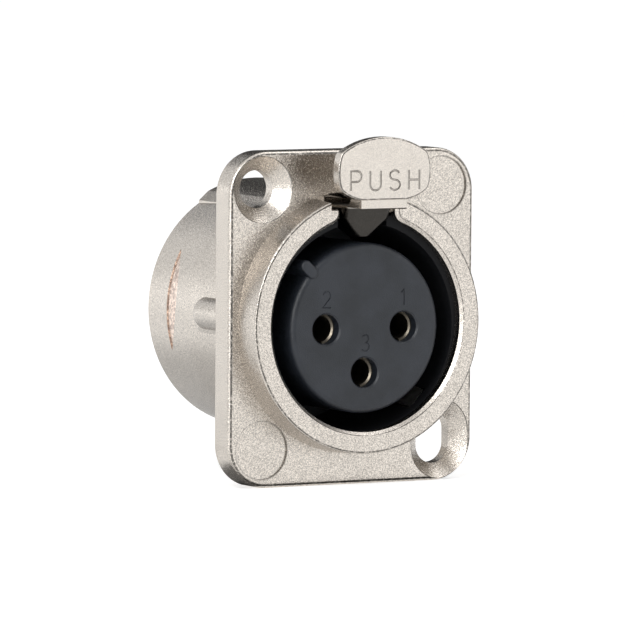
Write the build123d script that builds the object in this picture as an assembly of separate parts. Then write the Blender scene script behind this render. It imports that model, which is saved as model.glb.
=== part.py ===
from build123d import *
import math
import os

# Three-contact panel socket for a locking audio connector, in millimetres.
# The panel lies in the plane y = 0, the front is -Y, up is +Z, and the origin is the
# centre of the round panel cut-out on the back face of the flange.

# Flange
flange_width = 26.0
flange_height = 31.0
flange_thickness = 2.55
flange_corner_radius = 4.0
flange_edge_round = 0.4
fixing_inset = 3.5
fixing_hole_diameter = 3.5
countersink_diameter = 6.2
slot_length = 4.8
slot_rise = 0.4
blank_disc_diameter = 5.4
blank_disc_depth = 0.18

# Ring round the mouth
ring_height = 3.0
ring_drop = 0.45
ring_outer_radius = 11.95
ring_foot_radius = 12.15
ring_edge_round = 0.25
mouth_radius = 10.0
mouth_bevel = 0.33
lip_depth = 1.2

# Barrel behind the panel
barrel_diameter = 23.5
barrel_length = 15.65
barrel_straight_length = 8.0
barrel_end_radius = 11.45
barrel_bore_radius = 10.6
panel_cutout_diameter = 24.0
cutout_clearance = 0.05
latch_hump_half_width = 6.1
latch_hump_shoulder_half_width = 5.1
locating_rib_width = 3.1
locating_rib_length = 6.6
locating_rib_stand = 0.2
gate_scar_end = 11.85
gate_scar_width = 1.9
gate_scar_length = 9.5
gate_scar_rise = 1.0
gate_scar_depth = 0.12
snap_groove_setback = 2.15
snap_groove_width = 1.4
snap_groove_depth = 0.2

# Plug that the socket takes
plug_shell_radius = 9.5
plug_shell_clearance = 0.2
plug_pin_diameter = 2.4
plug_depth = 14.3
insert_drop = 0.85

# Notch, pocket and window for the lever
notch_width = 5.9
notch_corner_radius = 1.1
pocket_width = 8.0
pocket_floor_z = 10.1
pocket_height = 1.15
pocket_reach = 0.8
lever_side_clearance = 0.2
swing_clearance = 0.12

# Thumb pad of the lever
pad_width = 9.8
pad_height = 5.8
pad_bottom_z = 11.15
pad_thickness = 1.2
pad_stand_off = 5.85
pad_edge_round = 0.2
pad_crown_rise = 1.4
pad_shoulder_inset = 0.35
pad_side_rise = 2.7
pad_hip_inset = 0.28
pad_hip_rise = 1.0
pad_foot_width = 4.7
pad_foot_bow = 0.13
pad_shoulder_round = 1.0
pad_hip_round = 0.9
pad_foot_round = 0.4

# Neck, bar, tooth and arm of the lever
lever_width = 4.8
neck_recess = 0.15
neck_bottom_z = 10.4
neck_root_rise = 1.3
neck_root_end = 0.4
neck_lead = 0.5
bar_top_z = 10.5
bar_bottom_z = 9.4
tooth_tip_z = 7.6
tooth_tip_width = 1.6
tooth_tip_start = 0.9
tooth_tip_length = 1.3
tooth_nose_round = 0.75
arm_length = 2.6
arm_thickness = 1.05
lever_swing = 12.5

# Pivot of the lever
pivot_behind_face = 4.0
pivot_z = 10.0
pivot_boss_radius = 1.05
pin_radius = 0.58
pin_length = 7.5
pin_end_bevel = 0.1
pin_bore_clearance = 0.03
pin_seat_clearance = 0.02
pin_channel_margin = 0.1

# Leaf spring
leaf_thickness = 0.2
leaf_width = 2.4
leaf_touch_gap = 0.04
leaf_tip_gap = 0.4
leaf_bend_gap = 0.2
leaf_slot_depth = 2.8
leaf_slot_clearance = 0.03

# Front insulator
core_radius = 7.88
core_setback = 0.55
core_edge_round = 0.6
key_rib_angle = 137.0
key_rib_width = 1.1
key_rib_inner_radius = 7.2
key_rib_outer_radius = 9.2
key_rib_stand = 0.25
key_rib_round = 0.25
key_rib_nose_share = 0.8
sleeve_gap = 0.1
insulator_web = 1.8
key_block_start = 5.4
lever_room = 0.3
fit_gap = 0.05

# Contacts
contact_circle_radius = 4.12
contact_angles = (0, 180, 270)
contact_mouth_radius = 1.4
contact_mouth_depth = 1.1
contact_mouth_bevel = 0.15
cavity_clearance = 0.13
tulip_wall = 0.42
tulip_length = 8.75
tulip_bore_point = 0.6
tulip_slot_width = 0.35
tulip_slot_length = 6.5
tulip_lead_in = 0.15
shoulder_radius = 2.2
shoulder_length = 0.9
shank_radius = 1.45
cup_radius = 1.5
cup_wall = 0.5
cup_length = 5.0
cup_cut_length = 3.6
cup_solid_end = 0.6

# Rear insulator
rear_disc_setback = 0.25
rear_boss_radius = 9.2
rear_boss_height = 2.0
rear_boss_bevel = 0.4
rear_hole_clearance = 0.1
cup_clearance = 0.25
cup_recess_depth = 0.3
partition_angles = (45, 135, 225, 315)
partition_thickness = 0.9
partition_height = 1.6
partition_length = 7.6
snap_bead_height = 0.14
snap_bead_width = 0.8

# Ground contact
ground_angle = -45.0
ground_strip_width = 2.2
ground_strip_thickness = 0.3
ground_radius = 9.9
ground_finger_tip = 1.6
ground_finger_length = 4.4
ground_finger_bow = 0.6
ground_bow_flat = 0.8
ground_tip_room = 0.3
ground_tag_length = 5.0
ground_tag_hole_diameter = 1.2
ground_slot_clearance = 0.1

# Allowances for cutting and joining shapes
overshoot = 1.0
overlap = 0.1
near = 0.01

# Places worked out from the sizes above
face_y = -flange_thickness
fixing_x = flange_width / 2 - fixing_inset
fixing_z = flange_height / 2 - fixing_inset
ring_front_y = face_y - ring_height
lip_end_y = ring_front_y + lip_depth
barrel_radius = barrel_diameter / 2
hump_radius = panel_cutout_diameter / 2 - cutout_clearance
ring_z = -ring_drop
core_z = -insert_drop
core_face_y = ring_front_y + core_setback
gap_floor_y = ring_front_y + plug_depth
web_end_y = gap_floor_y + insulator_web
sleeve_inner_radius = plug_shell_radius + plug_shell_clearance
sleeve_outer_radius = barrel_bore_radius - sleeve_gap
slot_z = slot_rise - fixing_z
pocket_top_z = pocket_floor_z + pocket_height
pivot_y = face_y + pivot_behind_face
pin_seat_radius = pin_radius + pin_seat_clearance
pin_seat_end_y = pivot_y + pin_seat_radius
pin_channel_half = pin_length / 2 + pin_channel_margin
pin_channel_reach = pin_radius + pin_channel_margin
pad_face_y = face_y - pad_stand_off
pad_back_y = pad_face_y + pad_thickness
lever_half = lever_width / 2
lever_room_half = lever_half + lever_side_clearance
arm_end_y = pivot_y + arm_length
arm_top_z = pivot_z + pivot_boss_radius - lever_side_clearance
arm_bottom_z = arm_top_z - arm_thickness
arm_roof_z = arm_top_z + fit_gap
block_half = pin_channel_half - fit_gap
block_top_z = pivot_z + pin_channel_reach - fit_gap
tulip_inner_radius = plug_pin_diameter / 2
tulip_outer_radius = tulip_inner_radius + tulip_wall
tulip_front_y = core_face_y + contact_mouth_depth + fit_gap
cavity_radius = tulip_outer_radius + cavity_clearance
rear_start_y = web_end_y + fit_gap
rear_disc_end_y = barrel_length - rear_disc_setback
snap_groove_start = barrel_length - snap_groove_setback
rear_boss_end_y = rear_disc_end_y + rear_boss_height
shoulder_start_y = rear_start_y + fit_gap
shoulder_end_y = shoulder_start_y + shoulder_length
finger_start_y = lip_end_y + ground_finger_tip
ground_seat_radius = ground_radius - ground_strip_thickness / 2 - ground_slot_clearance
contact_places = [
    (contact_circle_radius * math.cos(math.radians(a)), core_z + contact_circle_radius * math.sin(math.radians(a)))
    for a in contact_angles
]


def front_plane(y):
    """A sketch plane across the connector: its first axis is +X and its second +Z."""
    return Plane(origin=(0, y, 0), x_dir=(1, 0, 0), z_dir=(0, -1, 0))


def slab(sketch, start, end):
    """A sketch in X and Z, filled from one y to another."""
    return extrude(front_plane(start) * sketch, amount=start - end)


def rod(radius, start, end, x=0.0, z=0.0):
    return slab(Pos(x, z) * Circle(radius), start, end)


def cone(start_radius, end_radius, start, end, x=0.0, z=0.0):
    shape = Cone(start_radius, end_radius, end - start)
    return Pos(x, (start + end) / 2, z) * Rot(X=-90) * shape


def crossbar(radius, length):
    """A round bar along X through the lever's pivot."""
    return Pos(0, pivot_y, pivot_z) * Rot(Y=90) * Cylinder(radius, length)


def block(x0, x1, y0, y1, z0, z1):
    return Pos((x0 + x1) / 2, (y0 + y1) / 2, (z0 + z1) / 2) * Box(x1 - x0, y1 - y0, z1 - z0)


def side_plate(points, half_width):
    """A closed outline in Y and Z, filled to the same distance on both sides of x = 0."""
    outline = Polyline(*points, close=True)
    return extrude(Plane.YZ * make_face(outline), amount=half_width, both=True)


def turned(points, x=0.0, z=0.0):
    """A solid turned about an axis along Y from an outline of radii and places along Y."""
    outline = make_face(Polyline(*points, close=True))
    return Pos(x, 0, z) * revolve(outline, axis=Axis.Y)


def corners_at(outline, height):
    return [corner for corner in outline.vertices() if abs(corner.Y - height) < near]


def fixing_hole():
    """The round countersunk fixing hole."""
    x, z = -fixing_x, fixing_z
    hole, sink = fixing_hole_diameter / 2, countersink_diameter / 2
    depth = sink - hole
    cutter = rod(hole, face_y - overshoot, overshoot, x, z)
    return cutter + cone(sink + depth, hole, face_y - depth, face_y + depth, x, z)


def fixing_slot():
    """The fixing hole across the corner, drawn out upright, with its countersink."""
    x, hole, sink = fixing_x, fixing_hole_diameter / 2, countersink_diameter / 2
    depth = sink - hole
    half_run = slot_length / 2 - hole
    outline = Pos(x, slot_z) * Rot(Z=90) * SlotOverall(slot_length, 2 * hole)
    cutter = slab(outline, face_y - overshoot, overshoot)
    for end in (-half_run, half_run):
        cutter += cone(sink + depth, hole, face_y - depth, face_y + depth, x, slot_z + end)
    wedge = Polyline(
        (-sink - depth, face_y - depth), (sink + depth, face_y - depth),
        (hole, face_y + depth), (-hole, face_y + depth), close=True,
    )
    return cutter + Pos(x, 0, slot_z) * extrude(make_face(wedge), amount=half_run, both=True)


def flange():
    """The rectangular plate with two fixing holes and two shallow blank discs."""
    outline = RectangleRounded(flange_width, flange_height, flange_corner_radius)
    plate = slab(outline, face_y, 0)
    plate = fillet(plate.faces().sort_by(Axis.Y)[0].edges(), flange_edge_round)
    plate -= fixing_hole()
    plate -= fixing_slot()
    for side in (-1, 1):
        x, z = side * fixing_x, side * fixing_z
        plate -= rod(blank_disc_diameter / 2, face_y - overshoot, face_y + blank_disc_depth, x, z)
    return plate


def ring():
    """The raised ring round the mouth, drafted outside and rounded at its front edge."""
    inside = face_y + overshoot
    body = turned([(0, ring_front_y), (ring_outer_radius, ring_front_y), (ring_foot_radius, face_y),
                   (ring_foot_radius, inside), (0, inside)], z=ring_z)
    return fillet(body.edges().sort_by(Axis.Y)[0], ring_edge_round)


def barrel():
    """The barrel: straight where it passes the panel, then drafted to a smaller end."""
    straight = rod(barrel_radius, 0, barrel_straight_length)
    return straight + cone(barrel_radius, barrel_end_radius, barrel_straight_length, barrel_length)


def latch_hump():
    """The low box over the latch, which stays inside the round panel cut-out."""
    half, shoulder = latch_hump_half_width, latch_hump_shoulder_half_width
    foot_z = math.sqrt(barrel_radius ** 2 - half ** 2) - overlap
    shoulder_z = math.sqrt(hump_radius ** 2 - shoulder ** 2)
    roof = ThreePointArc((-shoulder, shoulder_z), (0, hump_radius), (shoulder, shoulder_z))
    sides = Polyline((shoulder, shoulder_z), (half, foot_z), (half, 0), (-half, 0), (-half, foot_z),
                     (-shoulder, shoulder_z))
    return slab(make_face([roof, sides]), 0, barrel_length)


def locating_rib():
    """The short rib on the left of the barrel, rounded across and at its end."""
    half = locating_rib_width / 2
    rise = locating_rib_stand + barrel_radius - math.sqrt(barrel_radius ** 2 - half ** 2)
    round_radius = (half ** 2 + rise ** 2) / (2 * rise)
    x, end = round_radius - barrel_radius - locating_rib_stand, locating_rib_length - half
    return rod(round_radius, 0, end, x) + Pos(x, end, 0) * Sphere(round_radius)


def gate_scar():
    """The lens-shaped place where the casting's gate was ground off, straight behind and bowed in front."""
    half = gate_scar_length / 2
    start, end = gate_scar_end - gate_scar_width, gate_scar_end
    z = gate_scar_rise
    edge = Line((end, z - half), (end, z + half))
    bow = ThreePointArc((end, z + half), (start, z), (end, z - half))
    lens = extrude(Plane.YZ * make_face([edge, bow]), amount=-2 * barrel_radius)
    draft = (barrel_radius - barrel_end_radius) / (barrel_length - barrel_straight_length)
    first, last = (barrel_radius - gate_scar_depth - draft * (y - barrel_straight_length)
                   for y in (start - overshoot, end + overshoot))
    return lens - cone(first, last, start - overshoot, end + overshoot)


def mouth():
    """The opening for the plug, with the notch for the lever's tooth in its top."""
    outline = Pos(0, ring_z) * Circle(mouth_radius)
    outline += Pos(0, pocket_top_z / 2) * Rectangle(notch_width, pocket_top_z)
    corner_z = ring_z + math.sqrt(mouth_radius ** 2 - (notch_width / 2) ** 2)
    return fillet(corners_at(outline, corner_z), notch_corner_radius)


def mouth_edge():
    """The bevel all round the front of the mouth."""
    inward = Plane(origin=(0, ring_front_y, 0), x_dir=(-1, 0, 0), z_dir=(0, 1, 0))
    wide = offset(mouth(), mouth_bevel)
    return extrude(inward * wide, amount=mouth_bevel, taper=45)


def latch_space():
    """The window, pocket and channels that the lever and its pin work in."""
    front = ring_front_y - overshoot
    low_z = tooth_tip_z
    slope = math.tan(math.radians(lever_swing))
    bar_rise = (bar_top_z - pivot_z) / math.cos(math.radians(lever_swing)) + swing_clearance
    room_top_z = pivot_z + pivot_boss_radius + swing_clearance
    room_end_y = pivot_y + pivot_boss_radius + swing_clearance
    bend_y = pivot_y - (room_top_z - pivot_z - bar_rise) / slope
    front_top_z = room_top_z + (bend_y - front) * slope
    room = side_plate([(front, low_z), (front, front_top_z), (bend_y, room_top_z),
                       (room_end_y, room_top_z), (room_end_y, low_z)], lever_room_half)
    room += block(-lever_room_half, lever_room_half, pivot_y, arm_end_y + 2 * swing_clearance, 0, arm_roof_z)
    half = pocket_width / 2
    room += block(-half, half, front, face_y + pocket_reach, pocket_floor_z, pocket_top_z)
    reach, half = pin_channel_reach, pin_channel_half
    room += block(-half, half, pivot_y, barrel_length + overshoot, 0, pivot_z + reach)
    room += block(-half, half, pivot_y, pin_seat_end_y, pivot_z - reach, pivot_z + reach)
    return room + crossbar(pin_seat_radius, 2 * half)


def housing():
    """The one-piece cast body: flange, ring and barrel."""
    body = flange() + ring()
    tail = barrel() + latch_hump() + locating_rib()
    body += tail - gate_scar()
    body -= slab(mouth(), ring_front_y - overshoot, lip_end_y)
    body -= mouth_edge()
    body -= rod(barrel_bore_radius, lip_end_y, barrel_length + overshoot, z=ring_z)
    groove_end = snap_groove_start + snap_groove_width
    body -= rod(barrel_bore_radius + snap_groove_depth, snap_groove_start, groove_end, z=ring_z)
    return body - latch_space()


def pad_outline():
    """The thumb pad from the front: a crowned top, bowed sides and corners drawn in to a straight foot."""
    base, top = pad_bottom_z, pad_bottom_z + pad_height
    side_x, foot_x = pad_width / 2, pad_foot_width / 2
    shoulder_x, shoulder_z = side_x - pad_shoulder_inset, top - pad_crown_rise
    hip_x, hip_z = side_x - pad_hip_inset, base + pad_hip_rise
    side_z = base + pad_side_rise
    bow_x, bow_z = (hip_x + foot_x) / 2 + pad_foot_bow, (hip_z + base) / 2 - pad_foot_bow
    lines = [ThreePointArc((-shoulder_x, shoulder_z), (0, top), (shoulder_x, shoulder_z)),
             Line((foot_x, base), (-foot_x, base))]
    for side in (-1, 1):
        lines.append(ThreePointArc((side * shoulder_x, shoulder_z), (side * side_x, side_z), (side * hip_x, hip_z)))
        lines.append(ThreePointArc((side * hip_x, hip_z), (side * bow_x, bow_z), (side * foot_x, base)))
    outline = make_face(lines)
    for height, radius in ((shoulder_z, pad_shoulder_round), (hip_z, pad_hip_round), (base, pad_foot_round)):
        outline = fillet(corners_at(outline, height), radius)
    return outline


def pad():
    """The thumb pad with rounded rims."""
    plate = slab(pad_outline(), pad_face_y, pad_back_y)
    faces = plate.faces().sort_by(Axis.Y)
    return fillet(faces[0].edges() + faces[-1].edges(), pad_edge_round)


def lever_side():
    """The lever's neck, bar and arm seen from the side."""
    neck_front_y = pad_face_y + neck_recess
    root_z = pad_bottom_z + neck_root_rise
    return side_plate([
        (neck_front_y, neck_bottom_z), (neck_front_y, root_z), (pad_back_y, root_z),
        (ring_front_y - neck_root_end, bar_top_z), (pivot_y, bar_top_z), (arm_end_y, arm_top_z),
        (arm_end_y, arm_bottom_z), (pivot_y, arm_bottom_z), (pivot_y, neck_bottom_z),
    ], lever_half)


def tooth():
    """The tooth that locks the plug: a ramp in front, flanks drawn in to a narrow tip."""
    ramp_y, tip_y = ring_front_y - neck_lead, ring_front_y + tooth_tip_start
    back_y = tip_y + tooth_tip_length
    body = side_plate([(ramp_y, neck_bottom_z), (tip_y, tooth_tip_z), (back_y, tooth_tip_z),
                       (back_y, bar_bottom_z), (pivot_y, bar_bottom_z), (pivot_y, neck_bottom_z)], lever_half)
    tip_x, outer_x = tooth_tip_width / 2, lever_half + overshoot
    for side in (-1, 1):
        flank = Polyline((side * tip_x, tooth_tip_z), (side * outer_x, tooth_tip_z),
                         (side * outer_x, bar_bottom_z), (side * lever_half, bar_bottom_z), close=True)
        body -= slab(make_face(flank), ramp_y, pivot_y)
    ramp = body.faces().sort_by(Axis.Y)[0]
    sides = [edge for edge in ramp.edges() if abs((edge @ 0).Z - (edge @ 1).Z) > near]
    return fillet(sides, tooth_nose_round)


def push_lever():
    """The rocking lever: pad, neck, tooth and arm in one piece on a bored boss."""
    body = pad() + lever_side() + tooth() + crossbar(pivot_boss_radius, lever_width)
    return body - crossbar(pin_radius + pin_bore_clearance, lever_width + overshoot)


def lever_pin():
    pin = crossbar(pin_radius, pin_length)
    return chamfer(pin.edges().filter_by(GeomType.CIRCLE), pin_end_bevel)


def lever_spring():
    """The leaf spring under the lever's arm, held in a slot of the front insulator."""
    t = leaf_thickness
    blade_z = arm_bottom_z - leaf_touch_gap - t
    root_z = arm_bottom_z - t / 2
    tip_y = pivot_y + pivot_boss_radius + leaf_tip_gap
    bend_y, root_end_y = key_block_start - leaf_bend_gap, key_block_start + leaf_slot_depth
    lower = [(tip_y, blade_z), (arm_end_y, blade_z), (bend_y, root_z), (root_end_y, root_z)]
    upper = [(y, z + t) for y, z in reversed(lower)]
    return side_plate(lower + upper, leaf_width / 2)


def leaf_slot():
    """The slot that holds the root of the leaf spring."""
    half, gap = leaf_width / 2 + leaf_slot_clearance, leaf_thickness / 2 + leaf_slot_clearance
    slot_end_y = key_block_start + leaf_slot_depth + leaf_slot_clearance
    return block(-half, half, 0, slot_end_y, arm_bottom_z - gap, arm_bottom_z + gap)


def key_block(start, end):
    """The block on top of the liner and the web that fills the pin channel."""
    return block(-block_half, block_half, start, end, 0, block_top_z)


def sleeve():
    """The liner round the plug's shell, with two horns that hold the lever's pin."""
    body = rod(sleeve_outer_radius, lip_end_y + fit_gap, gap_floor_y, z=ring_z)
    body -= block(-pin_channel_half, pin_channel_half, lip_end_y, pin_seat_end_y, pivot_z - pin_seat_radius, barrel_radius)
    body += key_block(key_block_start, gap_floor_y)
    for side in (-1, 1):
        x0, x1 = sorted((side * lever_room_half, side * block_half))
        body += block(x0, x1, pin_seat_end_y, key_block_start, 0, block_top_z)
    body -= rod(sleeve_inner_radius, lip_end_y - overshoot, gap_floor_y + overshoot, z=core_z)
    body -= block(-lever_room_half, lever_room_half, lip_end_y - overshoot, key_block_start - 2 * swing_clearance,
                  core_z + core_radius + lever_room, arm_roof_z)
    open_radius = sleeve_inner_radius - ground_strip_thickness
    return body - leaf_slot() - ground_slot(finger_start_y - ground_tip_room, gap_floor_y + overshoot, open_radius)


def key_rib():
    """The rib on the core's edge that guides the plug, rounded all round its front."""
    nose = key_rib_width / 2
    centre = (key_rib_inner_radius + key_rib_outer_radius) / 2
    outline = SlotOverall(key_rib_outer_radius - key_rib_inner_radius, key_rib_width)
    outline = Pos(0, core_z) * Rot(Z=key_rib_angle) * Pos(centre, 0) * outline
    rib = slab(outline, core_face_y - key_rib_stand, gap_floor_y)
    return fillet(rib.faces().sort_by(Axis.Y)[0].edges(), min(key_rib_round, key_rib_nose_share * nose))


def ground_slot(start, end, floor_radius=ground_seat_radius):
    """The slot for the ground contact's strip, open to the outside of the liner."""
    half = ground_strip_width / 2 + ground_slot_clearance
    shape = block(-half, half, start, end, -barrel_radius, -floor_radius)
    return Pos(0, 0, core_z) * Rot(Y=-(90 + ground_angle)) * shape


def with_cavities(body):
    """Cuts the three stepped cavities for the contacts, with their mouths in the core's face."""
    for x, z in contact_places:
        body -= rod(contact_mouth_radius, core_face_y - overshoot, web_end_y, x, z)
        body -= cone(contact_mouth_radius + contact_mouth_bevel, contact_mouth_radius,
                     core_face_y, core_face_y + contact_mouth_bevel, x, z)
        body -= rod(cavity_radius, core_face_y + contact_mouth_depth, web_end_y + overshoot, x, z)
    return body


def core():
    """The front insulator's round face block with its guide rib."""
    body = rod(core_radius, core_face_y, gap_floor_y, z=core_z)
    return with_cavities(fillet(body.edges().sort_by(Axis.Y)[0], core_edge_round) + key_rib())


def core_share(whole, x0, x1, z0, z1):
    """One node's share of the core, parted through the contacts' axes so that each share is open at them."""
    return whole & block(x0, x1, core_face_y - overshoot, gap_floor_y, z0, z1)


def insulator():
    """The front insulator's web, the plate that carries the core and the sleeve."""
    body = rod(sleeve_outer_radius, gap_floor_y, web_end_y, z=ring_z) + key_block(gap_floor_y, web_end_y)
    return with_cavities(body) - ground_slot(gap_floor_y - overshoot, web_end_y + overshoot)


def contact(x, z):
    """A socket contact: slotted spring tube, shoulder, shank and solder cup."""
    inner, outer, front = tulip_inner_radius, tulip_outer_radius, tulip_front_y
    bore_end = front + tulip_length
    cup_front = rear_boss_end_y + fit_gap
    cup_floor = rear_boss_end_y + cup_solid_end
    cup_end = cup_floor + cup_length
    tube = [(inner, bore_end), (inner, front + tulip_lead_in), (inner + tulip_lead_in, front),
            (outer - tulip_lead_in, front), (outer, front + tulip_lead_in), (outer, shoulder_start_y)]
    collar = [(shoulder_radius, shoulder_start_y), (shoulder_radius, shoulder_end_y),
              (shank_radius, shoulder_end_y), (shank_radius, cup_front)]
    cup = [(cup_radius, cup_front), (cup_radius, cup_end), (cup_radius - cup_wall, cup_end),
           (cup_radius - cup_wall, cup_floor), (0, cup_floor), (0, bore_end + tulip_bore_point)]
    body = turned(tube + collar + cup, x, z)
    half = tulip_slot_width / 2
    body -= block(x - half, x + half, front - overshoot, front + tulip_slot_length, z - 2 * outer, z + 2 * outer)
    half = cup_radius + overshoot
    return body - block(x - half, x + half, cup_end - cup_cut_length, cup_end + overshoot, z, z + half)


def rear_insulator():
    """The rear insulator: disc with a snap bead, boss and walls between the solder cups."""
    radius, bead_radius = sleeve_outer_radius, sleeve_outer_radius + snap_bead_height
    body = rod(radius, rear_start_y, rear_disc_end_y, z=ring_z)
    middle = snap_groove_start + snap_groove_width / 2
    half = snap_bead_width / 2
    body += cone(radius, bead_radius, middle - half, middle, z=ring_z)
    body += cone(bead_radius, radius, middle, middle + half, z=ring_z)
    boss = rod(rear_boss_radius, rear_disc_end_y, rear_boss_end_y, z=ring_z)
    body += chamfer(boss.edges().sort_by(Axis.Y)[-1], rear_boss_bevel)
    body += key_block(rear_start_y, rear_disc_end_y)
    wall_end = rear_boss_end_y + partition_height
    for angle in partition_angles:
        wall = Rot(Z=angle) * Pos(partition_length / 2, 0) * Rectangle(partition_length, partition_thickness)
        body += slab(Pos(0, core_z) * wall, rear_boss_end_y - overlap, wall_end)
    for x, z in contact_places:
        body -= rod(shank_radius + rear_hole_clearance, rear_start_y - overshoot, wall_end + overshoot, x, z)
        body -= rod(shoulder_radius + rear_hole_clearance, rear_start_y - overshoot, shoulder_end_y + fit_gap, x, z)
        body -= rod(cup_radius + cup_clearance, rear_boss_end_y - cup_recess_depth, wall_end + overshoot, x, z)
    return body - ground_slot(rear_start_y - overshoot, barrel_length + overshoot)


def ground_contact():
    """The strip that joins the plug's shell to its own solder tag."""
    r, t, bow = ground_radius - ground_strip_thickness / 2, ground_strip_thickness, ground_finger_bow
    finger_end = finger_start_y + ground_finger_length
    middle, half_flat = (finger_start_y + finger_end) / 2, ground_bow_flat / 2
    tail = barrel_length + ground_tag_length
    inner = [(finger_start_y, -r), (middle - half_flat, bow - r), (middle + half_flat, bow - r), (finger_end, -r),
             (tail, -r)]
    outer = [(y, z - t) for y, z in reversed(inner)]
    strip = side_plate(inner + outer, ground_strip_width / 2)
    hole_y = tail - ground_strip_width / 2
    strip -= Pos(0, hole_y, -ground_radius) * Cylinder(ground_tag_hole_diameter / 2, ground_strip_width)
    return Pos(0, 0, core_z) * Rot(Y=-(90 + ground_angle)) * strip


os.makedirs("parts", exist_ok=True)
whole_core = core()
beyond = barrel_radius
nodes = {
    "housing": housing(),
    "push_lever": push_lever(),
    "lever_pin": lever_pin(),
    "lever_spring": lever_spring(),
    "sleeve": sleeve(),
    "core_top": core_share(whole_core, -beyond, beyond, core_z, beyond),
    "core_left": core_share(whole_core, -beyond, 0, -beyond, core_z),
    "core_right": core_share(whole_core, 0, beyond, -beyond, core_z),
    "insulator": insulator(),
    "rear_insulator": rear_insulator(),
    "ground_contact": ground_contact(),
}
for number, (x, z) in enumerate(contact_places, start=1):
    nodes[f"contact_{number}"] = contact(x, z)
for name, solid in nodes.items():
    export_step(solid, f"parts/{name}.step")
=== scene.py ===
import bpy
import bmesh
import math
from mathutils import Matrix, Vector


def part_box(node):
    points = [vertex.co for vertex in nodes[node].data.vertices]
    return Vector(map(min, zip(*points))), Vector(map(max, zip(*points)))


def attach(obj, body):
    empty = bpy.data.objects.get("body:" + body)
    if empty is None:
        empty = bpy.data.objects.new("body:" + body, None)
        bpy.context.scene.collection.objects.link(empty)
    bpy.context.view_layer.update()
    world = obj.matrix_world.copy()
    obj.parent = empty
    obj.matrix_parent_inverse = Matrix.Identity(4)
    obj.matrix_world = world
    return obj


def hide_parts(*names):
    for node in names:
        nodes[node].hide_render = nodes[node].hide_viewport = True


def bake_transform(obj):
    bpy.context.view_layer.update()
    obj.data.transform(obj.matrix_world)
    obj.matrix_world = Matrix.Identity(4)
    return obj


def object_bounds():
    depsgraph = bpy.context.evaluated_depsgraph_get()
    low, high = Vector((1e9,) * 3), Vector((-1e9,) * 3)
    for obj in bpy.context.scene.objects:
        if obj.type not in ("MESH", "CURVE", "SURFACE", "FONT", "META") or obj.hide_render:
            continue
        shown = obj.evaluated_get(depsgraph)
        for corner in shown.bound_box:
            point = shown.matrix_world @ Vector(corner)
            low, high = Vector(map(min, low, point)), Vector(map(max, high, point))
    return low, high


MM = 0.001
PICTURE_WIDTH = 625  # pixels
WHITE = (1, 1, 1)

# Places and sizes of the solids that the looks and the added pieces follow, in millimetres:
# the front faces along y, and the discs' middles as (x, z)
FLANGE_FACE, RING_FACE, INSULATOR_FACE = -2.55, -5.55, -5.0
BARREL_RADIUS = 11.75
DISC_PLACES = ((-9.5, -12.0), (9.5, 12.0))
DISC_RADIUS = 2.7
NECK_FOOT = 10.4

# Engraved signs: the word's height, the step from letter to letter, the strokes' lowest and
# highest places, and how far a number stands above its contact, in millimetres
LETTER_ROW, LETTER_PITCH = 12.97, 2.05
LETTERS_LOW, LETTERS_HIGH = 12.0, 13.95
NUMERAL_RISE = 2.76

# Scales of the noise in the materials, for places in metres; the third breaks up the painted dark
# reflection line along the edges
FINE_GRAIN, PLASTIC_GRAIN, EDGE_REFLECTION_GRAIN, COARSE_GRAIN, CHIPS = 12000, 8000, 3500, 3000, 2600
STAINS, PATCHES, CLOUDS = 900, 350, 240

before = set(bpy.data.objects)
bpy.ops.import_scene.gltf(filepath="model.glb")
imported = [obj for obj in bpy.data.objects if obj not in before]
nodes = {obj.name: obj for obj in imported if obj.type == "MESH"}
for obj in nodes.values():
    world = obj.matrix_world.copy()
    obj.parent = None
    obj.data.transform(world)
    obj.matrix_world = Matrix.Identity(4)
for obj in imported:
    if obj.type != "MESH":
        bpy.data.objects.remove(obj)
cad_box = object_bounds()


def front_of(node):
    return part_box(node)[0].y / MM


def linked(obj):
    bpy.context.scene.collection.objects.link(obj)
    return obj


# Camera at the photograph's viewing angle

def camera(azimuth, elevation, roll, distance, px_per_mm, shift_right, shift_up, target):
    """Stands distance from the target, moved aside by the shifts, all in millimetres."""
    a, e, r = (math.radians(angle) for angle in (azimuth, elevation, roll))
    back = Vector((math.sin(a) * math.cos(e), -math.cos(a) * math.cos(e), math.sin(e)))
    level_right = Vector((math.cos(a), math.sin(a), 0))
    level_up = back.cross(level_right)
    right = math.cos(r) * level_right + math.sin(r) * level_up
    up = math.cos(r) * level_up - math.sin(r) * level_right
    data = bpy.data.cameras.new("camera")
    data.sensor_width = 36.0
    data.lens = px_per_mm * distance / PICTURE_WIDTH * data.sensor_width
    data.clip_start, data.clip_end = 0.01, 10.0
    obj = linked(bpy.data.objects.new("camera", data))
    place = Vector(target) - shift_right * right - shift_up * up + distance * back
    axes = Matrix((right, up, back)).transposed().to_4x4()
    obj.matrix_world = Matrix.Translation(place * MM) @ axes
    bpy.context.scene.camera = obj


camera(azimuth=-30.0, elevation=4.3, roll=0.4, distance=727.7, px_per_mm=10.83,
       shift_right=3.64, shift_up=-0.43, target=(0, -2.55, 0))


# Materials

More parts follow.
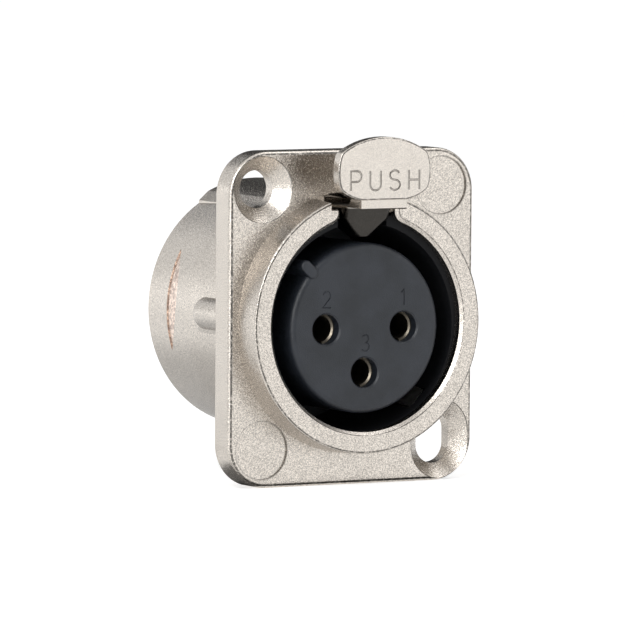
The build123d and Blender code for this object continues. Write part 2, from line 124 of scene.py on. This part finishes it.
class Nodes:
    """A material's node tree with short calls for the nodes used here."""

    def __init__(self, name):
        self.material = bpy.data.materials.new(name)
        self.material.use_nodes = True
        self.tree = self.material.node_tree
        self.shader = self.tree.nodes["Principled BSDF"]
        self.place = self.new("ShaderNodeTexCoord").outputs["Object"]

    def new(self, kind, **values):
        node = self.tree.nodes.new(kind)
        for key, value in values.items():
            setattr(node, key, value)
        return node

    def feed(self, socket, value):
        if isinstance(value, bpy.types.NodeSocket):
            self.tree.links.new(value, socket)
        elif isinstance(value, tuple):
            socket.default_value = (*value, 1)
        else:
            socket.default_value = value

    def noise(self, scale, detail=2.0, rough=0.5):
        node = self.new("ShaderNodeTexNoise")
        for key, value in (("Scale", scale), ("Detail", detail), ("Roughness", rough),
                           ("Vector", self.place)):
            self.feed(node.inputs[key], value)
        return node.outputs["Fac"]

    def spread(self, value, low, high, out_low=0.0, out_high=1.0):
        node = self.new("ShaderNodeMapRange")
        for key, number in (("Value", value), ("From Min", low), ("From Max", high),
                            ("To Min", out_low), ("To Max", out_high)):
            self.feed(node.inputs[key], number)
        return node.outputs["Result"]

    def math(self, operation, *values):
        node = self.new("ShaderNodeMath", operation=operation)
        for socket, value in zip(node.inputs, values):
            self.feed(socket, value)
        return node.outputs[0]

    def axes(self):
        """The place on the part along x, y and z, in millimetres."""
        node = self.new("ShaderNodeSeparateXYZ")
        self.feed(node.inputs[0], self.place)
        return [self.math("MULTIPLY", output, 1 / MM) for output in node.outputs]

    def mix(self, factor, first, second, blend="MIX"):
        node = self.new("ShaderNodeMix", data_type="RGBA", blend_type=blend)
        self.feed(node.inputs["Factor"], factor)
        sockets = [s for s in node.inputs if s.type == "RGBA"]
        self.feed(sockets[0], first)
        self.feed(sockets[1], second)
        return [s for s in node.outputs if s.type == "RGBA"][0]

    def bump(self, height, strength, distance, under=None):
        node = self.new("ShaderNodeBump")
        for key, value in (("Strength", strength), ("Distance", distance), ("Height", height)):
            self.feed(node.inputs[key], value)
        if under is not None:
            self.feed(node.inputs["Normal"], under)
        return node.outputs["Normal"]

    def set(self, **values):
        for key, value in values.items():
            self.feed(self.shader.inputs[key.replace("_", " ")], value)


def darker(colour, share):
    return tuple(share * c for c in colour)


def cast_nickel(name, light, contrast, rough_low, rough_high, grain, cloud_contrast=0.06):
    """Satin nickel over a blasted casting: fine dark and light grain, faint clouding."""
    n = Nodes(name)
    speck = n.noise(FINE_GRAIN, 1.5, 0.6)
    cloud = n.noise(CLOUDS, 3.0)
    tone = n.mix(n.spread(speck, 0.36, 0.64), darker(light, 1 - contrast), light)
    shade = n.mix(n.spread(cloud, 0.3, 0.7), darker(WHITE, 1 - cloud_contrast), WHITE)
    fine = n.bump(speck, grain, 0.02 * MM)
    normal = n.bump(n.noise(COARSE_GRAIN, 2.0), grain * 0.5, 0.03 * MM, fine)
    n.set(Base_Color=n.mix(1.0, tone, shade, "MULTIPLY"), Metallic=1.0,
          Roughness=n.spread(speck, 0.3, 0.7, rough_low, rough_high), Normal=normal)
    return n


def between(n, value, low, high):
    return n.math("MULTIPLY", n.math("GREATER_THAN", value, low), n.math("LESS_THAN", value, high))


def away_from(n, across, up):
    """The distance given by two parts at right angles."""
    return n.math("SQRT", n.math("ADD", n.math("MULTIPLY", across, across), n.math("MULTIPLY", up, up)))


def colour_so_far(n):
    return n.shader.inputs["Base Color"].links[0].from_socket


def recolour(n, where, colour):
    n.set(Base_Color=n.mix(where, colour_so_far(n), colour))


def darken(n, where, share):
    """Leaves only a share of the colour's lightness there."""
    recolour(n, where, n.mix(1.0, colour_so_far(n), darker(WHITE, share), "MULTIPLY"))


def gate_scar(n, radius, draft, draft_start, depth, brass, dirt):
    """Bares rough brass in the gate scar at the left, where the barrel is cut below its draft."""
    x, y, z = n.axes()
    narrowing = n.math("MULTIPLY", n.math("SUBTRACT", y, draft_start), draft)
    drafted = n.math("ADD", away_from(n, x, z), narrowing)
    below = between(n, drafted, radius - 2 * depth, radius - 0.2 * depth)
    along = between(n, y, draft_start + 1, draft_start + 5)
    left = n.math("MULTIPLY", n.math("LESS_THAN", x, -0.8 * radius), along)
    chips = n.noise(CHIPS, 4.0, 0.7)
    recolour(n, n.math("MULTIPLY", below, left), n.mix(n.spread(chips, 0.42, 0.58), dirt, brass))


def darker_rims(n, places, radius, width, front, share):
    """Paints shade on the thin edge of round marks about (x, z) places on a front face, in millimetres.
    """
    x, y, z = n.axes()
    rims = 0.0
    for middle_x, middle_z in places:
        away = away_from(n, n.math("SUBTRACT", x, middle_x), n.math("SUBTRACT", z, middle_z))
        rims = n.math("MAXIMUM", rims, between(n, away, radius - width / 2, radius + width / 2))
    darken(n, n.math("MULTIPLY", rims, n.math("LESS_THAN", y, front)), share)


def edge_lines(n, faces, low, high, share):
    """Paints a dark reflection line, in broken grain, where the edges of the flat faces at y in faces
    start to round.
    """
    x, y, z = n.axes()
    lines = 0.0
    for face in faces:
        lines = n.math("MAXIMUM", lines, between(n, y, face + low, face + high))
    broken = n.spread(n.noise(EDGE_REFLECTION_GRAIN, 3.0, 0.6), 0.38, 0.5, 0.25, 1.0)
    darken(n, n.math("MULTIPLY", lines, broken), share)


def darker_below(n, height, blend, share):
    """Paints shade on the metal below a height, in millimetres, leaving it darker."""
    x, y, z = n.axes()
    darken(n, n.spread(z, height - blend, height, 1.0, 0.0), share)


def dark_strokes(n, face, depth, low, high, share):
    """Paints shade on the floors of strokes cut into a front face at y = face, between two heights."""
    x, y, z = n.axes()
    inside = between(n, y, face + 0.1 * depth, face + 1.5 * depth)
    darken(n, n.math("MULTIPLY", inside, between(n, z, low, high)), share)


def moulded_plastic(name, light, dark, rough_low, rough_high, grain, gloss=0.5):
    """Dull moulded plastic with faint patches and a fine grain."""
    n = Nodes(name)
    n.shader.inputs["Specular IOR Level"].default_value = gloss
    speck = n.noise(PLASTIC_GRAIN, 2.0)
    patch = n.noise(PATCHES, 3.0)
    colour = n.mix(n.spread(patch, 0.35, 0.65), dark, light)
    n.set(Base_Color=colour, Roughness=n.spread(speck, 0.3, 0.7, rough_low, rough_high),
          Normal=n.bump(speck, grain, 0.02 * MM))
    return n.material


def plated(name, light, dark, rough_low, rough_high):
    """Smooth plated sheet or turned metal with faint tarnish."""
    n = Nodes(name)
    stain = n.noise(STAINS, 4.0, 0.6)
    colour = n.mix(n.spread(stain, 0.35, 0.7), light, dark)
    n.set(Base_Color=colour, Metallic=1.0, Roughness=n.spread(stain, 0.3, 0.7, rough_low, rough_high),
          Normal=n.bump(n.noise(FINE_GRAIN, 1.0), 0.1, 0.01 * MM))
    return n.material


pad_face = front_of("push_lever")
housing_nickel = cast_nickel("housing_metal", light=(0.755, 0.70, 0.635), contrast=0.54,
                             rough_low=0.16, rough_high=0.28, grain=1.0)
gate_scar(housing_nickel, radius=BARREL_RADIUS, draft=0.0392, draft_start=8.0, depth=0.12,
          brass=(0.82, 0.69, 0.60), dirt=(0.42, 0.34, 0.30))
# Painted shade: a thin dark ring round the edge of the two recessed round marks on the flange.
darker_rims(housing_nickel, DISC_PLACES, DISC_RADIUS, width=0.17,
            front=FLANGE_FACE + 0.35, share=0.7)
# Painted dark reflection: a thin broken dark line where the flange's and the ring's front faces start
# to round.
edge_lines(housing_nickel, (FLANGE_FACE, RING_FACE), low=0.003, high=0.07, share=0.25)
lever_nickel = cast_nickel("lever_metal", light=(0.72, 0.67, 0.61), contrast=0.3,
                           rough_low=0.2, rough_high=0.28, grain=0.4)
# Painted dark reflection: the same thin broken dark line round the pad's front face.
edge_lines(lever_nickel, (pad_face,), low=0.003, high=0.06, share=0.25)
# Painted shade: the lever's tooth below the neck's foot keeps only 8 % of the metal's lightness.
darker_below(lever_nickel, NECK_FOOT, blend=0.15, share=0.08)
# Painted shade on the floors of the engraved PUSH letters.
dark_strokes(lever_nickel, pad_face, depth=0.1, low=LETTERS_LOW, high=LETTERS_HIGH, share=0.6)
# The contacts' plating is painted dark brown, darker than its own colour: painted shade for their place
# deep in the insert.
contact_gold_in_painted_shade = plated("contact_metal", (0.25, 0.22, 0.175), (0.14, 0.125, 0.10), 0.3, 0.45)
core_plastic = moulded_plastic("insulator_plastic", (0.021, 0.025, 0.033), (0.012, 0.015, 0.020),
                               rough_low=0.28, rough_high=0.5, grain=1.0, gloss=0.42)
looks = {
    "housing": housing_nickel.material,
    "push_lever": lever_nickel.material,
    "lever_pin": plated("pin_steel", (0.55, 0.55, 0.56), (0.42, 0.42, 0.42), 0.2, 0.35),
    "lever_spring": plated("spring_steel", (0.45, 0.44, 0.43), (0.33, 0.32, 0.31), 0.25, 0.4),
    "sleeve": moulded_plastic("sleeve_plastic", (0.009, 0.0095, 0.011), (0.006, 0.0065, 0.008),
                              rough_low=0.5, rough_high=0.65, grain=0.3, gloss=0.2),
    "rear_insulator": moulded_plastic("rear_plastic", (0.022, 0.022, 0.025), (0.017, 0.017, 0.019),
                                      rough_low=0.4, rough_high=0.55, grain=0.3),
    "ground_contact": plated("ground_metal", (0.62, 0.60, 0.56), (0.48, 0.46, 0.42), 0.3, 0.45),
}
for number in (1, 2, 3):
    looks[f"contact_{number}"] = contact_gold_in_painted_shade
CORE_SHARES = ("core_top", "core_left", "core_right")
for node in (*CORE_SHARES, "insulator"):
    looks[node] = core_plastic
for name, material in looks.items():
    for place in nodes[name].material_slots:
        place.material = material


# Engraved words and numbers

def arc(x, z, wide, high, start, end, steps=10):
    turn = [math.radians(start + (end - start) * i / steps) for i in range(steps + 1)]
    return [(x + wide * math.cos(t), z + high * math.sin(t)) for t in turn]


# Each sign's strokes, in a box one wide and one high about its middle
STROKES = {
    "P": [[(-0.5, -0.5), (-0.5, 0.5)] + arc(0.1, 0.23, 0.4, 0.27, 90, -90) + [(-0.5, -0.04)]],
    "U": [[(-0.5, 0.5)] + arc(0, -0.2, 0.5, 0.3, 180, 360) + [(0.5, 0.5)]],
    "S": [arc(0, 0.26, 0.46, 0.24, 25, 270) + arc(0, -0.24, 0.5, 0.26, 80, -155)],
    "H": [[(-0.5, 0.5), (-0.5, -0.5)], [(0.5, 0.5), (0.5, -0.5)], [(-0.5, 0), (0.5, 0)]],
    "1": [[(-0.35, 0.3), (0, 0.5), (0, -0.5)]],
    "2": [arc(0, 0.22, 0.45, 0.28, 165, -35) + [(-0.5, -0.5), (0.5, -0.5)]],
    "3": [arc(0, 0.26, 0.42, 0.24, 150, -90) + arc(0, -0.24, 0.5, 0.26, 90, -150)],
}


def join_edges(mesh):
    """Joins faces whose corners meet, so that the mesh is closed. It is in millimetres."""
    work = bmesh.new()
    work.from_mesh(mesh)
    bmesh.ops.remove_doubles(work, verts=work.verts, dist=0.0005)
    work.to_mesh(mesh)
    work.free()


def tube(points, radius):
    """A closed round bar along the points, to cut one stroke."""
    data = bpy.data.curves.new("stroke", "CURVE")
    data.dimensions, data.use_fill_caps = "3D", True
    data.bevel_depth, data.bevel_resolution = radius, 3
    line = data.splines.new("POLY")
    line.points.add(len(points) - 1)
    for point, place in zip(line.points, points):
        point.co = (*place, 1)
    curve = bpy.data.objects.new("stroke", data)
    mesh = bpy.data.meshes.new_from_object(curve)
    bpy.data.objects.remove(curve)
    join_edges(mesh)
    return linked(bpy.data.objects.new("stroke", mesh))


def closed_copy(node, name):
    """A copy of a CAD node in millimetres, closed so that it can be cut."""
    piece = linked(bpy.data.objects.new(name, nodes[node].data.copy()))
    piece.data.transform(Matrix.Scale(1 / MM, 4))
    join_edges(piece.data)
    return piece


def engrave(node, body, signs, wide, high, stroke_width):
    """A copy of a CAD node with signs, given as (sign, x, y, z), cut into its front. Millimetres."""
    piece = closed_copy(node, f"{node}_engraved")
    bars = []
    for sign, x, y, z in signs:
        for stroke in STROKES[sign]:
            points = [(x + u * wide, y, z + v * high) for u, v in stroke]
            bars.append(tube(points, stroke_width / 2))
            groove = piece.modifiers.new("groove", "BOOLEAN")
            groove.operation, groove.solver, groove.object = "DIFFERENCE", "EXACT", bars[-1]
            groove.use_self = True
    seen = piece.evaluated_get(bpy.context.evaluated_depsgraph_get())
    mesh = bpy.data.meshes.new_from_object(seen)
    mesh.transform(Matrix.Scale(MM, 4))
    piece.modifiers.clear()
    piece.data = mesh
    for bar in bars:
        bpy.data.objects.remove(bar)
    if "custom_normal" in mesh.attributes:
        mesh.attributes.remove(mesh.attributes["custom_normal"])
    mesh.shade_smooth()
    mesh.set_sharp_from_angle(angle=math.radians(28))
    even = piece.modifiers.new("even_normals", "WEIGHTED_NORMAL")
    even.keep_sharp = True
    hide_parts(node)
    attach(piece, body)
    return piece


WORD = "PUSH"
word_middle = (len(WORD) - 1) / 2
letters = [(sign, (i - word_middle) * LETTER_PITCH, pad_face, LETTER_ROW)
           for i, sign in enumerate(WORD)]
piece = engrave("push_lever", "lever", letters, wide=1.12, high=1.8, stroke_width=0.2)


def above_contact(number):
    """A number's sign and place on the core's front, over the contact it names."""
    low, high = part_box(f"contact_{number}")
    middle = (low + high) / 2 / MM
    return (str(number), middle.x, INSULATOR_FACE, middle.z + NUMERAL_RISE)


numerals = [above_contact(number) for number in (1, 2, 3)]
for node in CORE_SHARES:
    piece = engrave(node, "socket", numerals, wide=0.85, high=1.5, stroke_width=0.16)


# The leaf spring, which bends as the lever's arm presses it down, cut across into short lengths

def bending_leaf(node, held, free, cuts):
    """A copy of the leaf spring, cut across y into lengths from held to free, places along y."""
    piece = closed_copy(node, f"{node}_bending")
    work = bmesh.new()
    work.from_mesh(piece.data)
    for i in range(1, cuts):
        place = Vector((0, free + (held - free) * i / cuts, 0))
        everything = work.verts[:] + work.edges[:] + work.faces[:]
        bmesh.ops.bisect_plane(work, geom=everything, plane_co=place, plane_no=Vector((0, 1, 0)))
    work.to_mesh(piece.data)
    work.free()
    piece.data.transform(Matrix.Scale(MM, 4))
    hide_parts(node)
    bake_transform(piece)


bending_leaf("lever_spring", held=7.0, free=4.05, cuts=6)


# The rib on the left of the barrel

def half_round_rib(name, radius, standing, barrel_radius, length, rise, turns=16, rings=6):
    """A bar half sunk in the barrel's left side with a ball end, from the flange backwards. Its
    ball end stops at a small flat tip, so that no face is empty."""
    x = radius - barrel_radius - standing
    tip = 0.01 * radius
    stations = [(0.0, radius)]
    for i in range(rings + 1):
        t = math.pi / 2 * i / rings
        stations.append((length - radius + radius * math.sin(t), max(radius * math.cos(t), tip)))
    half_turn = [math.pi * (0.5 + i / turns) for i in range(turns + 1)]
    work = bmesh.new()
    loops = []
    for y, r in stations:
        places = [Vector((x + r * math.cos(a), y, rise + r * math.sin(a))) for a in half_turn]
        loops.append([work.verts.new(place * MM) for place in places])
    for first, second in zip(loops, loops[1:]):
        for i in range(turns):
            work.faces.new((first[i], first[i + 1], second[i + 1], second[i]))
    for loop in (loops[0], loops[-1]):
        work.faces.new(loop)
    ends = [[loop[i] for loop in loops] for i in (0, turns)]
    work.faces.new(ends[0] + ends[1][::-1])
    bmesh.ops.recalc_face_normals(work, faces=work.faces)
    mesh = bpy.data.meshes.new(name)
    work.to_mesh(mesh)
    work.free()
    mesh.materials.append(housing_nickel.material)
    mesh.shade_smooth()
    mesh.set_sharp_from_angle(angle=math.radians(40))
    piece = linked(bpy.data.objects.new(name, mesh))
    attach(piece, "socket")


half_round_rib("barrel_rib", radius=1.6, standing=0.95, barrel_radius=BARREL_RADIUS,
               length=6.0, rise=0.25)


# Stage: floor, world, cards and lamps, in metres and watts

def white_rays(tree):
    """1 for rays that show the background: the camera's, mirrored and refracted ones."""
    ray = tree.nodes.new("ShaderNodeLightPath")
    value = ray.outputs["Is Camera Ray"]
    for kind in ("Is Glossy Ray", "Is Transmission Ray"):
        most = tree.nodes.new("ShaderNodeMath")
        most.operation = "MAXIMUM"
        tree.links.new(value, most.inputs[0])
        tree.links.new(ray.outputs[kind], most.inputs[1])
        value = most.outputs[0]
    return value


def scaled(tree, value, low, high):
    """Spreads a value from 0 to 1 over low to high."""
    node = tree.nodes.new("ShaderNodeMapRange")
    node.inputs["To Min"].default_value = low
    node.inputs["To Max"].default_value = high
    tree.links.new(value, node.inputs["Value"])
    return node.outputs["Result"]


def sheet(name, corners):
    """A flat piece of the stage with four corners, in metres."""
    mesh = bpy.data.meshes.new(name)
    mesh.from_pydata(corners, [], [(0, 1, 2, 3)])
    obj = linked(bpy.data.objects.new(name, mesh))
    material = bpy.data.materials.new(name)
    material.use_nodes = True
    mesh.materials.append(material)
    return obj, material.node_tree


def level_corners(x_low, x_high, y_low, y_high, z):
    return [(x_low, y_low, z), (x_high, y_low, z), (x_high, y_high, z), (x_low, y_high, z)]


def floor(z, size, glow):
    """A plain pale floor that glows for the rays that show the background."""
    obj, tree = sheet("floor", level_corners(-size, size, -size, size, z))
    shader = tree.nodes["Principled BSDF"]
    shader.inputs["Base Color"].default_value = (0.8, 0.8, 0.8, 1)
    shader.inputs["Roughness"].default_value = 0.9
    shader.inputs["Emission Color"].default_value = (*WHITE, 1)
    tree.links.new(scaled(tree, white_rays(tree), 0.0, glow), shader.inputs["Emission Strength"])


def white_world(level):
    """White for the camera and for reflections, a plain soft level of light for the rest."""
    world = bpy.data.worlds.new("world")
    bpy.context.scene.world = world
    world.use_nodes = True
    tree = world.node_tree
    sky = tree.nodes["Background"]
    sky.inputs["Color"].default_value = (*WHITE, 1)
    tree.links.new(scaled(tree, white_rays(tree), level, 1.0), sky.inputs["Strength"])


def grey_sheet(name, corners, tone):
    """A grey card that only reflections see."""
    obj, tree = sheet(name, corners)
    tree.nodes["Principled BSDF"].inputs["Base Color"].default_value = (tone, tone, tone, 1)
    obj.visible_camera = obj.visible_diffuse = obj.visible_shadow = obj.visible_transmission = False


def dark_card(name, middle, wide, high):
    """A black card facing the part."""
    middle = Vector(middle)
    across = middle.cross(Vector((0, 0, 1))).normalized() * wide / 2
    up = across.cross(middle).normalized() * high / 2
    corners = [middle + a * across + b * up for a, b in ((-1, -1), (1, -1), (1, 1), (-1, 1))]
    grey_sheet(name, corners, tone=0.02)


def softbox(name, place, power, wide, high):
    """A soft lamp aimed at the part."""
    data = bpy.data.lights.new(name, "AREA")
    data.energy, data.shape, data.size, data.size_y = power, "RECTANGLE", wide, high
    obj = linked(bpy.data.objects.new(name, data))
    obj.location = place
    obj.rotation_mode = "QUATERNION"
    obj.rotation_quaternion = (-Vector(place)).to_track_quat("-Z", "Y")


bpy.context.scene.view_settings.view_transform = "Standard"
floor_z = cad_box[0].z
card_z = floor_z + 0.2 * MM
floor(floor_z, size=3.0, glow=0.6)
white_world(level=0.45)
dark_card("card_behind", (0.4, 0.5, 0.2), wide=0.5, high=0.6)
dark_card("card_above", (0.1, 0.5, 0.5), wide=0.5, high=0.45)
grey_sheet("card_below", level_corners(-0.03, 0.005, 0.015, 0.05, card_z), tone=0.95)
# A dark sheet under the part, seen only in reflections: it stands in for the floor's shadow there.
grey_sheet("shadow_card_under", level_corners(-0.015, 0.04, -0.0036, 0.003, card_z), tone=0.25)
dark_card("card_before", (-0.05, -0.6, 0.03), wide=0.18, high=0.6)
softbox("key", (-0.45, -0.35, 0.45), power=1.6, wide=0.35, high=0.35)
softbox("fill", (0.4, -0.6, 0.25), power=0.5, wide=0.5, high=0.5)
softbox("strip", (-0.5, -0.3, 0.04), power=1.2, wide=0.1, high=0.6)
softbox("rim", (-0.45, 0.75, 0.0), power=0.26, wide=0.3, high=0.3)
softbox("top", (0.3, -0.05, 0.5), power=0.4, wide=0.25, high=0.25)
